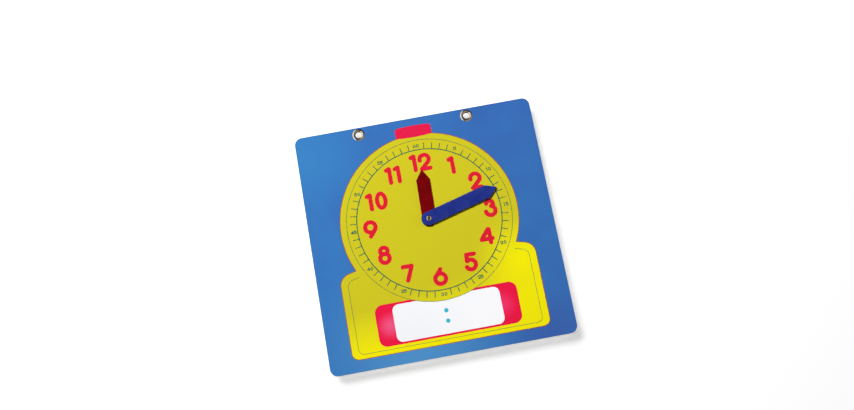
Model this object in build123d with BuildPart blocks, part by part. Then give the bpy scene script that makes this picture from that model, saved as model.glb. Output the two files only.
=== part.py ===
"""Dry-erase teaching clock: a laminated board with a printed dial and two riveted hands. Millimetres.

The board hangs upright: +Z is up, +X is to the reader's right and -Y is towards the reader.
The origin lies midway between the two hanging eyelets, on the board's back face.
"""
from build123d import *
from math import cos, radians, sin, tan
import os

# Board and the layers that it is laminated from
board_side = 304.8
board_corner_radius = 9.5
core_thickness = 2.0
sheet_thickness = 0.15
ink_thickness = 0.05
line_ink_thickness = 0.03
film_thickness = 0.175

# Hanging eyelets
eyelet_spacing = 140.0
eyelet_edge_margin = 1.4
eyelet_bore_radius = 4.2
eyelet_wall = 0.35
eyelet_head_radius = 8.0
eyelet_head_height = 1.3
eyelet_tail_radius = 6.2
eyelet_tail_height = 0.75
eyelet_washer_radius = 7.6
eyelet_washer_thickness = 0.4

# Printed clock: its place on the board, its round dial and its base
print_shift = -0.7
clock_side_margin = 40.95
clock_top_margin = 22.2
rim_width = 7.6
base_side_margin = 30.4
base_foot_margin = 15.0
notch_angle = 25.94
shoulder_slope = 13.0
shoulder_radius = 14.5
foot_radius = 8.5
edge_line_width = 0.75

# Printed tab on top of the clock
tab_width = 46.6
tab_tuck = 2.1
tab_side_height = 13.2
tab_bulge = 1.2
tab_corner_radius = 4.0
tab_foot_radius = 1.2

# Printed frame and writing panel in the clock's base
frame_side_margin = 33.65
frame_foot_margin = 9.0
frame_tuck = 8.2
frame_shift = 1.6
frame_corner_radius = 10.0
panel_side_border = 21.6
panel_top_border = 2.7
panel_foot_border = 2.5
panel_corner_radius = 8.0

# Printed lines and dots
chapter_ring_width = 1.2
outer_ring_width = 0.55
minute_track_width = 12.95
tick_length = 8.3
tick_width = 1.0
base_line_inset = 8.2
base_line_foot_inset = 5.0
base_line_width = 0.5
base_line_gap = 1.6
base_line_shoulder_radius = 9.0
base_line_foot_radius = 7.0
dot_radius = 2.7
dot_spacing = 12.9
dot_rise = 15.4

# Hands
hand_thickness = 1.2
hand_edge_radius = 0.3
hand_width = 17.4
hand_shoulder_radius = 3.0
hand_tip_radius = 0.8
hand_heel = 1.3
hour_hand_reach = 64.2
hour_point_length = 13.2
hour_angle = 1.4
minute_hand_reach = 94.1
minute_point_length = 13.8
minute_angle = 75.1

# Hollow rivet, its washers and their clearances
rivet_bore_radius = 1.4
rivet_wall = 0.35
rivet_head_radius = 3.4
rivet_head_height = 0.75
rivet_tail_radius = 2.9
rivet_tail_height = 0.6
spacer_radius = 6.0
spacer_thickness = 0.4
rivet_washer_radius = 4.5
rivet_washer_thickness = 0.4
running_clearance = 0.05
hand_end_play = 0.05
hole_clearance = 0.1

# Heights of the layers in front of the board's back face
backing_sheet_back = film_thickness
core_back = backing_sheet_back + sheet_thickness
printed_sheet_back = core_back + core_thickness
writing_film_back = printed_sheet_back + sheet_thickness
ink_back = writing_film_back + film_thickness
board_thickness = ink_back + ink_thickness

# Heights of the stack of hands on the rivet
hour_hand_back = board_thickness + spacer_thickness + hand_end_play
hand_spacer_back = hour_hand_back + hand_thickness + hand_end_play
minute_hand_back = hand_spacer_back + spacer_thickness + hand_end_play
rivet_head_seat = minute_hand_back + hand_thickness + hand_end_play

# Printed clock's sizes, whose drops are measured down from the dial's centre
clock_radius = board_side / 2 - clock_side_margin
outer_ring_radius = clock_radius - rim_width
chapter_ring_radius = outer_ring_radius - minute_track_width
base_width = board_side - 2 * base_side_margin
base_drop = board_side - clock_top_margin - clock_radius - base_foot_margin
frame_width = base_width - 2 * frame_side_margin
frame_top_drop = outer_ring_radius - frame_tuck
frame_foot_drop = base_drop - frame_foot_margin
panel_width = frame_width - 2 * panel_side_border
panel_top_drop = frame_top_drop + panel_top_border
panel_foot_drop = frame_foot_drop - panel_foot_border
lower_dot_drop = panel_foot_drop - dot_rise
upper_dot_drop = lower_dot_drop - dot_spacing

# Places seen from the front, as (x, z)
eyelet_edge_distance = eyelet_head_radius + eyelet_edge_margin
dial_depth = clock_top_margin + clock_radius - eyelet_edge_distance
board_centre = (0, eyelet_edge_distance - board_side / 2)
dial_centre = (print_shift, -dial_depth)
upper_dot_place = (print_shift, -dial_depth - upper_dot_drop)
lower_dot_place = (print_shift, -dial_depth - lower_dot_drop)
left_eyelet_place = (-eyelet_spacing / 2, 0)
right_eyelet_place = (eyelet_spacing / 2, 0)

# Holes through the board and through what turns on the rivet
eyelet_barrel_radius = eyelet_bore_radius + eyelet_wall
rivet_barrel_radius = rivet_bore_radius + rivet_wall
eyelet_hole_radius = eyelet_barrel_radius + hole_clearance
rivet_hole_radius = rivet_barrel_radius + hole_clearance
hand_hole_radius = rivet_barrel_radius + running_clearance

# Counts and angles
half_turn = 180
hours_on_dial = 12
minutes_between_hours = 5
ticks_between_hours = minutes_between_hours - 1
degrees_per_hour = 360 / hours_on_dial
degrees_per_minute = degrees_per_hour / minutes_between_hours


def save(piece, name):
    """Label a finished piece and write it as its own STEP file."""
    piece.part.label = name
    export_step(piece.part, f"parts/{name}.step")


def board_outline():
    """Square board with rounded corners, pierced for both eyelets and the rivet."""
    with BuildSketch(mode=Mode.PRIVATE) as outline:
        with Locations(board_centre):
            RectangleRounded(board_side, board_side, board_corner_radius)
        with Locations(left_eyelet_place, right_eyelet_place):
            Circle(eyelet_hole_radius, mode=Mode.SUBTRACT)
        with Locations(dial_centre):
            Circle(rivet_hole_radius, mode=Mode.SUBTRACT)
    return outline.sketch


def clock_base(margin, foot_margin, shoulder_rounding, foot_rounding):
    """Base of the printed clock with sloping shoulders, grown by a margin of its own at the foot.

    The roundings are the corner radii that the base has at no margin.
    """
    slope = radians(shoulder_slope)
    notch = radians(notch_angle)
    half_width = base_width / 2 + margin
    ridge_drop = clock_radius * (sin(notch) - cos(notch) * tan(slope)) - margin / cos(slope)
    ridge = -dial_depth - ridge_drop
    shoulder = ridge - half_width * tan(slope)
    foot = -dial_depth - base_drop - foot_margin
    left = print_shift - half_width
    right = print_shift + half_width
    with BuildSketch(mode=Mode.PRIVATE) as base:
        with BuildLine():
            Polyline(
                (left, foot),
                (right, foot),
                (right, shoulder),
                (print_shift, ridge),
                (left, shoulder),
                close=True,
            )
        make_face()
        corners = base.vertices().group_by(Axis.X)
        sides = corners[0] + corners[-1]
        fillet(sides.group_by(Axis.Y)[-1], radius=shoulder_rounding + margin)
        fillet(base.vertices().group_by(Axis.Y)[0], radius=foot_rounding + margin)
    return base.sketch


def dial_disc(radius):
    """Disc about the dial's centre."""
    with BuildSketch(mode=Mode.PRIVATE) as disc:
        with Locations(dial_centre):
            Circle(radius)
    return disc.sketch


def clock_outline(margin):
    """Whole printed clock: its round dial standing on its base."""
    with BuildSketch(mode=Mode.PRIVATE) as outline:
        add(clock_base(margin, margin, shoulder_radius, foot_radius))
        add(dial_disc(clock_radius + margin))
        with Locations(dial_centre):
            Circle(rivet_hole_radius, mode=Mode.SUBTRACT)
    return outline.sketch


def tab_outline():
    """Pillow-shaped tab whose top and bottom edges both bow outwards."""
    left = print_shift - tab_width / 2
    right = print_shift + tab_width / 2
    bottom = clock_radius - tab_tuck - dial_depth
    top = bottom + tab_side_height
    with BuildSketch(mode=Mode.PRIVATE) as tab:
        with BuildLine():
            ThreePointArc((left, top), (print_shift, top + tab_bulge), (right, top))
            Line((right, top), (right, bottom))
            ThreePointArc((right, bottom), (print_shift, bottom - tab_bulge), (left, bottom))
            Line((left, bottom), (left, top))
        make_face()
        fillet(tab.vertices().group_by(Axis.Y)[-1], radius=tab_corner_radius)
        fillet(tab.vertices().group_by(Axis.Y)[0], radius=tab_foot_radius)
    return tab.sketch


def panel_outline(width, top_drop, foot_drop, corner_radius):
    """Rounded rectangle in the clock's base, cut away under the dial's outer ring."""
    with BuildSketch(mode=Mode.PRIVATE) as panel:
        with Locations((print_shift + frame_shift, -dial_depth - (top_drop + foot_drop) / 2)):
            RectangleRounded(width, foot_drop - top_drop, corner_radius)
        add(dial_disc(outer_ring_radius), mode=Mode.SUBTRACT)
    return panel.sketch


def base_keyline():
    """Thin line inside the base's edge that stops short of the dial."""
    shoulder_rounding = base_line_shoulder_radius + base_line_inset
    foot_rounding = base_line_foot_radius + base_line_inset
    inner_inset = base_line_inset + base_line_width
    inner_foot_inset = base_line_foot_inset + base_line_width
    with BuildSketch(mode=Mode.PRIVATE) as keyline:
        add(clock_base(-base_line_inset, -base_line_foot_inset, shoulder_rounding, foot_rounding))
        add(
            clock_base(-inner_inset, -inner_foot_inset, shoulder_rounding, foot_rounding),
            mode=Mode.SUBTRACT,
        )
        add(dial_disc(clock_radius + base_line_gap), mode=Mode.SUBTRACT)
    return keyline.sketch


outline = board_outline()
yellow_outline = clock_outline(0)
edged_outline = clock_outline(edge_line_width)
tab = tab_outline()
frame = panel_outline(frame_width, frame_top_drop, frame_foot_drop, frame_corner_radius)
panel = panel_outline(panel_width, panel_top_drop, panel_foot_drop, panel_corner_radius)
keyline = base_keyline()

os.makedirs("parts", exist_ok=True)

# Plain layers of the board, from the back to the front
board_layers = {
    "back_film": (0, film_thickness),
    "backing_sheet": (backing_sheet_back, sheet_thickness),
    "board_core": (core_back, core_thickness),
    "printed_sheet": (printed_sheet_back, sheet_thickness),
    "writing_film": (writing_film_back, film_thickness),
}
for layer_name, (layer_back, layer_thickness) in board_layers.items():
    with BuildPart() as layer:
        with BuildSketch(Plane.XZ.offset(layer_back)):
            add(outline)
        extrude(amount=layer_thickness)
    save(layer, layer_name)

# Blue field around the clock
with BuildPart() as blue_field:
    with BuildSketch(Plane.XZ.offset(ink_back)):
        add(outline)
        add(edged_outline, mode=Mode.SUBTRACT)
        add(dial_disc(clock_radius), mode=Mode.SUBTRACT)
        add(tab, mode=Mode.SUBTRACT)
    extrude(amount=ink_thickness)
save(blue_field, "blue_field_print")

# Yellow clock shape
with BuildPart() as yellow_clock:
    with BuildSketch(Plane.XZ.offset(ink_back)):
        add(yellow_outline)
        add(tab, mode=Mode.SUBTRACT)
        add(frame, mode=Mode.SUBTRACT)
    extrude(amount=ink_thickness)
save(yellow_clock, "yellow_clock_print")

# Red edge line around the clock
with BuildPart() as edge_line:
    with BuildSketch(Plane.XZ.offset(ink_back)):
        add(edged_outline)
        add(yellow_outline, mode=Mode.SUBTRACT)
        add(dial_disc(clock_radius), mode=Mode.SUBTRACT)
        add(tab, mode=Mode.SUBTRACT)
    extrude(amount=ink_thickness)
save(edge_line, "edge_line_print")

# Red tab on top of the clock
with BuildPart() as top_tab:
    with BuildSketch(Plane.XZ.offset(ink_back)):
        add(tab)
    extrude(amount=ink_thickness)
save(top_tab, "tab_print")

# Red frame around the writing panel
with BuildPart() as writing_frame:
    with BuildSketch(Plane.XZ.offset(ink_back)):
        add(frame)
        add(panel, mode=Mode.SUBTRACT)
    extrude(amount=ink_thickness)
save(writing_frame, "writing_frame_print")

# White writing panel
with BuildPart() as writing_panel:
    with BuildSketch(Plane.XZ.offset(ink_back)):
        add(panel)
    extrude(amount=ink_thickness)
save(writing_panel, "writing_panel_print")

# Dark rings, minute ticks and base keyline, printed over the colours
with BuildPart() as dial_lines:
    with BuildSketch(Plane.XZ.offset(board_thickness)):
        with Locations(dial_centre):
            Circle(outer_ring_radius + outer_ring_width / 2)
            Circle(outer_ring_radius - outer_ring_width / 2, mode=Mode.SUBTRACT)
            Circle(chapter_ring_radius + chapter_ring_width / 2)
            Circle(chapter_ring_radius - chapter_ring_width / 2, mode=Mode.SUBTRACT)
            for hour in range(hours_on_dial):
                with PolarLocations(
                    radius=chapter_ring_radius + tick_length / 2,
                    count=ticks_between_hours,
                    start_angle=hour * degrees_per_hour + degrees_per_minute,
                    angular_range=ticks_between_hours * degrees_per_minute,
                ):
                    Rectangle(tick_length, tick_width)
        add(keyline)
    extrude(amount=line_ink_thickness)
save(dial_lines, "dial_lines_print")

# Two dots between the hours and the minutes on the writing panel
with BuildPart() as colon_dots:
    with BuildSketch(Plane.XZ.offset(board_thickness)):
        with Locations(upper_dot_place, lower_dot_place):
            Circle(dot_radius)
    extrude(amount=line_ink_thickness)
save(colon_dots, "colon_dots_print")


def rolled_tube(place, bore, wall, head, tail):
    """Tube whose head is rolled outwards in front and whose tail is clinched behind.

    The place is (x, z). The head and the tail are each (seat, rim radius, height), and each is half of
    an elliptical ring whose inner edge runs into the bore and whose rim stands on its seat.
    """
    x, z = place
    head_seat, head_radius, head_height = head
    tail_seat, tail_radius, tail_height = tail
    head_centre = ((bore + head_radius) / 2, -head_seat)
    tail_centre = ((bore + tail_radius) / 2, tail_seat)
    head_roll = (head_radius - bore) / 2
    tail_roll = (tail_radius - bore) / 2
    with BuildPart() as tube:
        with BuildSketch(Plane(origin=(x, 0, z))):
            with BuildLine():
                EllipticalCenterArc(
                    head_centre, head_roll, head_height, start_angle=half_turn, arc_size=half_turn
                )
                Line((head_radius, -head_seat), (head_radius - wall, -head_seat))
                EllipticalCenterArc(
                    head_centre,
                    head_roll - wall,
                    head_height - wall,
                    start_angle=half_turn,
                    arc_size=half_turn,
                )
                Line((bore + wall, -head_seat), (bore + wall, tail_seat))
                EllipticalCenterArc(
                    tail_centre, tail_roll - wall, tail_height - wall, start_angle=0, arc_size=half_turn
                )
                Line((tail_radius - wall, tail_seat), (tail_radius, tail_seat))
                EllipticalCenterArc(tail_centre, tail_roll, tail_height, start_angle=0, arc_size=half_turn)
                Line((bore, tail_seat), (bore, -head_seat))
            make_face()
        revolve(axis=Axis((x, 0, z), (0, 1, 0)))
    return tube


def washer(place, back, thickness, radius, hole_radius):
    """Flat ring about a place (x, z), whose back face is at the given height."""
    with BuildPart() as ring:
        with BuildSketch(Plane.XZ.offset(back)):
            with Locations(place):
                Circle(radius)
                Circle(hole_radius, mode=Mode.SUBTRACT)
        extrude(amount=thickness)
    return ring


# Hanging eyelets, each with its washer behind the board
for side, eyelet_place in (("left", left_eyelet_place), ("right", right_eyelet_place)):
    eyelet = rolled_tube(
        place=eyelet_place,
        bore=eyelet_bore_radius,
        wall=eyelet_wall,
        head=(board_thickness, eyelet_head_radius, eyelet_head_height),
        tail=(eyelet_washer_thickness, eyelet_tail_radius, eyelet_tail_height),
    )
    save(eyelet, f"{side}_eyelet")
    eyelet_washer = washer(
        place=eyelet_place,
        back=-eyelet_washer_thickness,
        thickness=eyelet_washer_thickness,
        radius=eyelet_washer_radius,
        hole_radius=eyelet_hole_radius,
    )
    save(eyelet_washer, f"{side}_eyelet_washer")

# Hollow rivet through the board and both hands
hand_rivet = rolled_tube(
    place=dial_centre,
    bore=rivet_bore_radius,
    wall=rivet_wall,
    head=(rivet_head_seat, rivet_head_radius, rivet_head_height),
    tail=(rivet_washer_thickness, rivet_tail_radius, rivet_tail_height),
)
save(hand_rivet, "hand_rivet")

# Washers on the rivet: behind the board, in front of it and between the hands
rivet_washer = washer(
    place=dial_centre,
    back=-rivet_washer_thickness,
    thickness=rivet_washer_thickness,
    radius=rivet_washer_radius,
    hole_radius=rivet_hole_radius,
)
save(rivet_washer, "rivet_washer")
board_washer = washer(
    place=dial_centre,
    back=board_thickness,
    thickness=spacer_thickness,
    radius=spacer_radius,
    hole_radius=hand_hole_radius,
)
save(board_washer, "board_washer")
hand_spacer = washer(
    place=dial_centre,
    back=hand_spacer_back,
    thickness=spacer_thickness,
    radius=spacer_radius,
    hole_radius=hand_hole_radius,
)
save(hand_spacer, "hand_spacer")


def pointed_hand(back, reach, point_length, clock_angle):
    """Flat pointed hand on the rivet, turned clockwise from twelve by a clock angle in degrees."""
    turn = radians(clock_angle)
    half_width = hand_width / 2
    shoulder_reach = reach - point_length
    x, z = dial_centre
    seat = Plane(origin=(x, -back, z), x_dir=(cos(turn), 0, -sin(turn)), z_dir=(0, -1, 0))
    with BuildPart() as hand:
        with BuildSketch(seat) as blade:
            with BuildLine():
                CenterArc((0, -hand_heel), half_width, start_angle=half_turn, arc_size=half_turn)
                Polyline(
                    (half_width, -hand_heel),
                    (half_width, shoulder_reach),
                    (0, reach),
                    (-half_width, shoulder_reach),
                    (-half_width, -hand_heel),
                )
            make_face()
            fillet(blade.vertices().group_by(Axis.Y)[-2], radius=hand_shoulder_radius)
            fillet(blade.vertices().group_by(Axis.Y)[-1], radius=hand_tip_radius)
            Circle(hand_hole_radius, mode=Mode.SUBTRACT)
        extrude(amount=hand_thickness)
        front = hand.faces().sort_by(Axis.Y)[0]
        fillet(front.outer_wire().edges(), radius=hand_edge_radius)
    return hand


# Hour hand and minute hand
hour_hand = pointed_hand(hour_hand_back, hour_hand_reach, hour_point_length, hour_angle)
save(hour_hand, "hour_hand")
minute_hand = pointed_hand(minute_hand_back, minute_hand_reach, minute_point_length, minute_angle)
save(minute_hand, "minute_hand")
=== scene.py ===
"""Dresses the dry-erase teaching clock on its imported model, and sets up the studio that shows it.

Everything is in metres in the part's own frame: +X to the reader's right, +Z up to the twelve, the printed
face towards -Y, and the origin on the back of the board, midway between its two eyelets.
"""

import functools
import logging
import math
from collections.abc import Callable
from dataclasses import dataclass
from enum import Enum
from typing import ClassVar

import bpy
import numpy as np
from mathutils import Matrix, Vector


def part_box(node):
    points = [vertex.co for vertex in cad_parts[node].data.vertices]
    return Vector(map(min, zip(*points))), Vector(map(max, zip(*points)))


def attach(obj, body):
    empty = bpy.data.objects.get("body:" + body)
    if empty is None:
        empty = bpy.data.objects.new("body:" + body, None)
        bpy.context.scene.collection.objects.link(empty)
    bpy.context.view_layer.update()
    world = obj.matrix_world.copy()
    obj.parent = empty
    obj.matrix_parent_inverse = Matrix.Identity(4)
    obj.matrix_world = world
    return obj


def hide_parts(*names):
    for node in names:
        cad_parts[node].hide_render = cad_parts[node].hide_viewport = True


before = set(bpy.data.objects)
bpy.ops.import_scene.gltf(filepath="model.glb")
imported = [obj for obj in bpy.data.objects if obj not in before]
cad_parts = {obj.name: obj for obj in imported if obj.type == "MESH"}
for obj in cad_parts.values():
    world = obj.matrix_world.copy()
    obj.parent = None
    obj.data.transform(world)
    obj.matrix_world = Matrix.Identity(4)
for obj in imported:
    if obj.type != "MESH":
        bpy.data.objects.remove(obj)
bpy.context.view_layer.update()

MM = 0.001
TINY = 1e-12
PHOTO_WIDTH = 854
SENSOR_WIDTH = 36.0

Color = tuple[float, float, float]
Place = tuple[float, float, float]
Pair = tuple[float, float]
Socket = bpy.types.NodeSocket
Sockets = dict[str, Socket]
Node = bpy.types.Node
Tree = bpy.types.NodeTree
Piece = bpy.types.Object
Grid = np.ndarray
Faces = list[list[int]]

BLACK: Color = (0.0, 0.0, 0.0)
GREY: Color = (0.5, 0.5, 0.5)
WHITE: Color = (1.0, 1.0, 1.0)

log = logging.getLogger("teaching_clock")


class Body(Enum):
    """The bodies that pieces ride on."""

    BOARD = "board"
    HOUR_HAND = "hour_hand"
    MINUTE_HAND = "minute_hand"


class Slot(Enum):
    """Names of the record's material slots for the new pieces, which the script passes along but never reads.
    """

    RED_INK = "red_ink"
    GREEN_INK = "green_ink"
    NICKEL = "nickel"
    BRASS = "rivet_brass"
    RED_PLASTIC = "red_plastic"
    BLUE_PLASTIC = "blue_plastic"


class Falls(Enum):
    """What a studio light falls on: the wall alone, or everything but the wall."""

    ON_WALL = "INCLUDE"
    OFF_WALL = "EXCLUDE"


class Side(Enum):
    """The two eyelets, with the sign of their place along X."""

    LEFT = -1
    RIGHT = 1


def srgb(red: int, green: int, blue: int) -> Color:
    """Turns a screen colour into linear light.

    Formula: up to 0.04045 a share is divided by 12.92, and above that it is ((share + 0.055) / 1.055) to the
    power 2.4.

    Args:
        red: Red, from 0 to 255.
        green: Green, from 0 to 255.
        blue: Blue, from 0 to 255.

    Returns:
        The three linear values.
    """
    shares = (channel / 255 for channel in (red, green, blue))
    return tuple(s / 12.92 if s <= 0.04045 else ((s + 0.055) / 1.055) ** 2.4 for s in shares)


class Graph:
    """Short ways to add nodes to a node tree and to join them."""

    def __init__(self, tree: Tree) -> None:
        """Keeps the tree that nodes are added to."""
        self.tree = tree

    def feed(self, socket: Socket, value: object) -> None:
        """Joins a socket to another socket, or sets its value.

        Args:
            socket: The input to feed.
            value: An output socket, or a number, colour or vector.
        """
        if isinstance(value, Socket):
            self.tree.links.new(value, socket)
        elif socket.type == "RGBA" and len(value) == 3:
            socket.default_value = (*value, 1.0)
        else:
            socket.default_value = value

    def add(self, kind: str, inputs: dict | None = None, **settings: object) -> Node:
        """Adds a node.

        Args:
            kind: The node's type name.
            inputs: Values or sockets for its inputs, by name or by number.
            **settings: Attributes to set before the inputs.

        Returns:
            The new node.
        """
        node = self.tree.nodes.new(kind)
        for name, value in settings.items():
            setattr(node, name, value)
        for key, value in (inputs or {}).items():
            self.feed(node.inputs[key], value)
        return node

    def math(self, operation: str, *values: object, clamp: bool = False) -> Socket:
        """Returns the result of a Math node on the given values."""
        inputs = dict(enumerate(values))
        return self.add("ShaderNodeMath", inputs, operation=operation, use_clamp=clamp).outputs[0]

    def vector(self, operation: str, *values: object, output: str = "Vector") -> Socket:
        """Returns the result of a Vector Math node: a vector, or a number where the output is Value."""
        inputs = dict(enumerate(values))
        return self.add("ShaderNodeVectorMath", inputs, operation=operation).outputs[output]

    def shrink(self, position: Socket, size: object) -> Socket:
        """Returns a position divided by a size, so that one unit of a pattern is that large."""
        inputs = {0: position, "Scale": self.math("DIVIDE", 1.0, size)}
        return self.add("ShaderNodeVectorMath", inputs, operation="SCALE").outputs["Vector"]

    def noise(self, position: Socket, size: object, detail: float = 2.0, distortion: float = 0.0) -> Socket:
        """Returns smooth noise from 0 to 1 whose blobs are about one size wide.

        Args:
            position: The position that the noise reads.
            size: The width of a blob, in metres.
            detail: Octaves of finer noise.
            distortion: How much the noise bends itself.

        Returns:
            The noise value.
        """
        place = self.shrink(position, size)
        inputs = {"Vector": place, "Scale": 1.0, "Detail": detail, "Distortion": distortion}
        return self.add("ShaderNodeTexNoise", inputs).outputs["Fac"]

    def spread(self, noise: Socket, amount: object) -> Socket:
        """Returns noise moved to lie evenly about zero and scaled: (noise - 0.5) * amount."""
        return self.math("MULTIPLY", self.math("SUBTRACT", noise, 0.5), amount)

    def remap(
        self, value: Socket, low: float, high: float, to_low: float = 0.0, to_high: float = 1.0,
    ) -> Socket:
        """Returns a value carried from one span to another, smoothly and held inside it."""
        inputs = {"Value": value, "From Min": low, "From Max": high, "To Min": to_low, "To Max": to_high}
        return self.add("ShaderNodeMapRange", inputs, interpolation_type="SMOOTHSTEP").outputs["Result"]

    def mix(self, factor: object, first: object, second: object, blend: str = "MIX") -> Socket:
        """Returns the mix of two colours.

        Args:
            factor: The second colour's share, held between 0 and 1.
            first: The first colour.
            second: The second colour.
            blend: The way that they blend.

        Returns:
            The mixed colour.
        """
        node = self.add("ShaderNodeMix", data_type="RGBA", blend_type=blend, clamp_factor=True)
        for number, value in ((0, factor), (6, first), (7, second)):
            self.feed(node.inputs[number], value)
        return node.outputs[2]


def socket_kind(name: str) -> str:
    """Finds the kind of a group's socket, which its name tells.

    Args:
        name: The socket's name.

    Returns:
        Blender's name for a colour, a vector or, for every other name, a number.
    """
    if name.endswith("Color"):
        return "NodeSocketColor"
    return "NodeSocketVector" if name in ("Position", "Slope") else "NodeSocketFloat"


def new_group(
    name: str, inputs: tuple[str, ...], outputs: tuple[str, ...],
) -> tuple[Graph, Sockets, Sockets]:
    """Starts a shader node group with its named sockets. Its first input is always Position.

    Args:
        name: The group's name.
        inputs: The names of its other inputs.
        outputs: The names of its outputs.

    Returns:
        The graph to fill, the sockets that the inputs give, and the sockets that the outputs take.
    """
    graph = Graph(bpy.data.node_groups.new(name, "ShaderNodeTree"))
    inputs = ("Position", *inputs)
    for names, direction in ((inputs, "INPUT"), (outputs, "OUTPUT")):
        for key in names:
            graph.tree.interface.new_socket(name=key, in_out=direction, socket_type=socket_kind(key))
    given, taken = graph.add("NodeGroupInput").outputs, graph.add("NodeGroupOutput").inputs
    return graph, {key: given[key] for key in inputs}, {key: taken[key] for key in outputs}


@functools.cache
def film_relief_group() -> Tree:
    """Builds the relief of a laminated sheet, once.

    Formula: long waves of the glued sheet, plus the fine pebble of the film, each noise about zero times
    its own height. The haze is a broad noise that says where the film is duller.

    Returns:
        The node group, with outputs Height in metres and Haze from 0 to 1.
    """
    graph, given, taken = new_group(
        "film_relief", ("Wave Size", "Wave Height", "Pebble Size", "Pebble Height"), ("Height", "Haze"),
    )
    haze_breadth, haze_edges = 1.7, (0.25, 0.75)
    place = given["Position"]
    wave = graph.noise(place, given["Wave Size"], detail=1.0, distortion=0.6)
    pebble = graph.spread(graph.noise(place, given["Pebble Size"]), given["Pebble Height"])
    graph.feed(taken["Height"], graph.math("ADD", graph.spread(wave, given["Wave Height"]), pebble))
    haze_size = graph.math("MULTIPLY", given["Wave Size"], haze_breadth)
    haze = graph.noise(place, haze_size, detail=3.0, distortion=0.2)
    graph.feed(taken["Haze"], graph.remap(haze, *haze_edges))
    return graph.tree


@functools.cache
def ink_tone_and_painted_light_group() -> Tree:
    """Builds a printed colour's painted gradient of light and shade across the sheet, and its random tone,
    once.

    Formula: the share of the far colour is position dot slope, plus a shift, plus broad noise times the
    mottle. Over it lies a fine grain that makes the ink a few percent lighter and darker. The slope paints
    a gradient of light and shade across the sheet; the noise and the grain are the ink's own random tone.

    Returns:
        The node group, with output Color.
    """
    graph, given, taken = new_group(
        "ink_drift", ("Near Color", "Far Color", "Slope", "Shift", "Mottle", "Grain"), ("Color",),
    )
    cloud_size, speck_size = 55 * MM, 1.1 * MM
    place = given["Position"]
    slope = graph.vector("DOT_PRODUCT", place, given["Slope"], output="Value")
    along = graph.math("ADD", slope, given["Shift"])
    cloud = graph.spread(graph.noise(place, cloud_size, detail=3.0, distortion=0.5), given["Mottle"])
    share = graph.math("ADD", along, cloud, clamp=True)
    ink = graph.mix(share, given["Near Color"], given["Far Color"])
    speck = graph.math("ADD", 1.0, graph.spread(graph.noise(place, speck_size, detail=3.0), given["Grain"]))
    tint = graph.add("ShaderNodeCombineColor", {0: speck, 1: speck, 2: speck}).outputs[0]
    graph.feed(taken["Color"], graph.mix(1.0, ink, tint, "MULTIPLY"))
    return graph.tree


@functools.cache
def fibre_group() -> Tree:
    """Builds the fibres of paper and chipboard, once.

    Formula: noise read from a position that is pressed together along X and Z, so its blobs are long
    flecks, mixed over a clean colour where the noise is high. The height is the same noise.

    Returns:
        The node group, with outputs Color and Height.
    """
    graph, given, taken = new_group(
        "fibre", ("Clean Color", "Fleck Color", "Fibre Width", "Fibre Height", "Flecks"),
        ("Color", "Height"),
    )
    fleck_stretch, fleck_edges = (0.22, 1.0, 0.45), (0.52, 0.74)
    cloud_size, cloud_share = 18 * MM, 0.12
    stretched = graph.vector("MULTIPLY", given["Position"], fleck_stretch)
    strand = graph.noise(stretched, given["Fibre Width"], detail=4.0, distortion=1.2)
    cloud = graph.noise(given["Position"], cloud_size, detail=3.0)
    fleck = graph.math("MULTIPLY", graph.remap(strand, *fleck_edges), given["Flecks"])
    share = graph.math("ADD", fleck, graph.spread(cloud, cloud_share), clamp=True)
    graph.feed(taken["Color"], graph.mix(share, given["Clean Color"], given["Fleck Color"]))
    graph.feed(taken["Height"], graph.math("MULTIPLY", strand, given["Fibre Height"]))
    return graph.tree


@functools.cache
def pressed_metal_group() -> Tree:
    """Builds the wear of small pressed metal parts, once.

    Formula: cloudy noise decides where the plating is dull, and a fine noise that is stretched across the
    part gives the drawing marks. Past the tube's mouth, along Y, the colour fades to a painted shade that
    stands for the shadow inside the tube.

    Returns:
        The node group, with outputs Color, Roughness and Height.
    """
    graph, given, taken = new_group(
        "pressed_metal",
        ("Clean Color", "Dull Color", "Painted Shade Color", "Mouth", "Fade", "Polish", "Mark Height"),
        ("Color", "Roughness", "Height"),
    )
    cloud_size, cloud_edges, dull_roughness = 2.6 * MM, (0.42, 0.72), 0.16
    mark_size, mark_stretch, mark_roughness = 0.28 * MM, (1.0, 0.25, 1.0), 0.08
    place = given["Position"]
    dull = graph.remap(graph.noise(place, cloud_size, detail=4.0, distortion=0.7), *cloud_edges)
    stretched = graph.vector("MULTIPLY", place, mark_stretch)
    marks = graph.noise(stretched, mark_size, detail=3.0, distortion=0.4)
    y = graph.vector("DOT_PRODUCT", place, (0.0, 1.0, 0.0), output="Value")
    # Painted shade: the share of the shadow colour rises past the tube's mouth, towards the board.
    inside = graph.math("DIVIDE", graph.math("SUBTRACT", y, given["Mouth"]), given["Fade"], clamp=True)
    worn = graph.mix(dull, given["Clean Color"], given["Dull Color"])
    graph.feed(taken["Color"], graph.mix(inside, worn, given["Painted Shade Color"]))
    rougher = graph.math("ADD", given["Polish"], graph.math("MULTIPLY", dull, dull_roughness))
    uneven = graph.spread(marks, mark_roughness)
    graph.feed(taken["Roughness"], graph.math("ADD", rougher, uneven, clamp=True))
    graph.feed(taken["Height"], graph.spread(marks, given["Mark Height"]))
    return graph.tree


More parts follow.
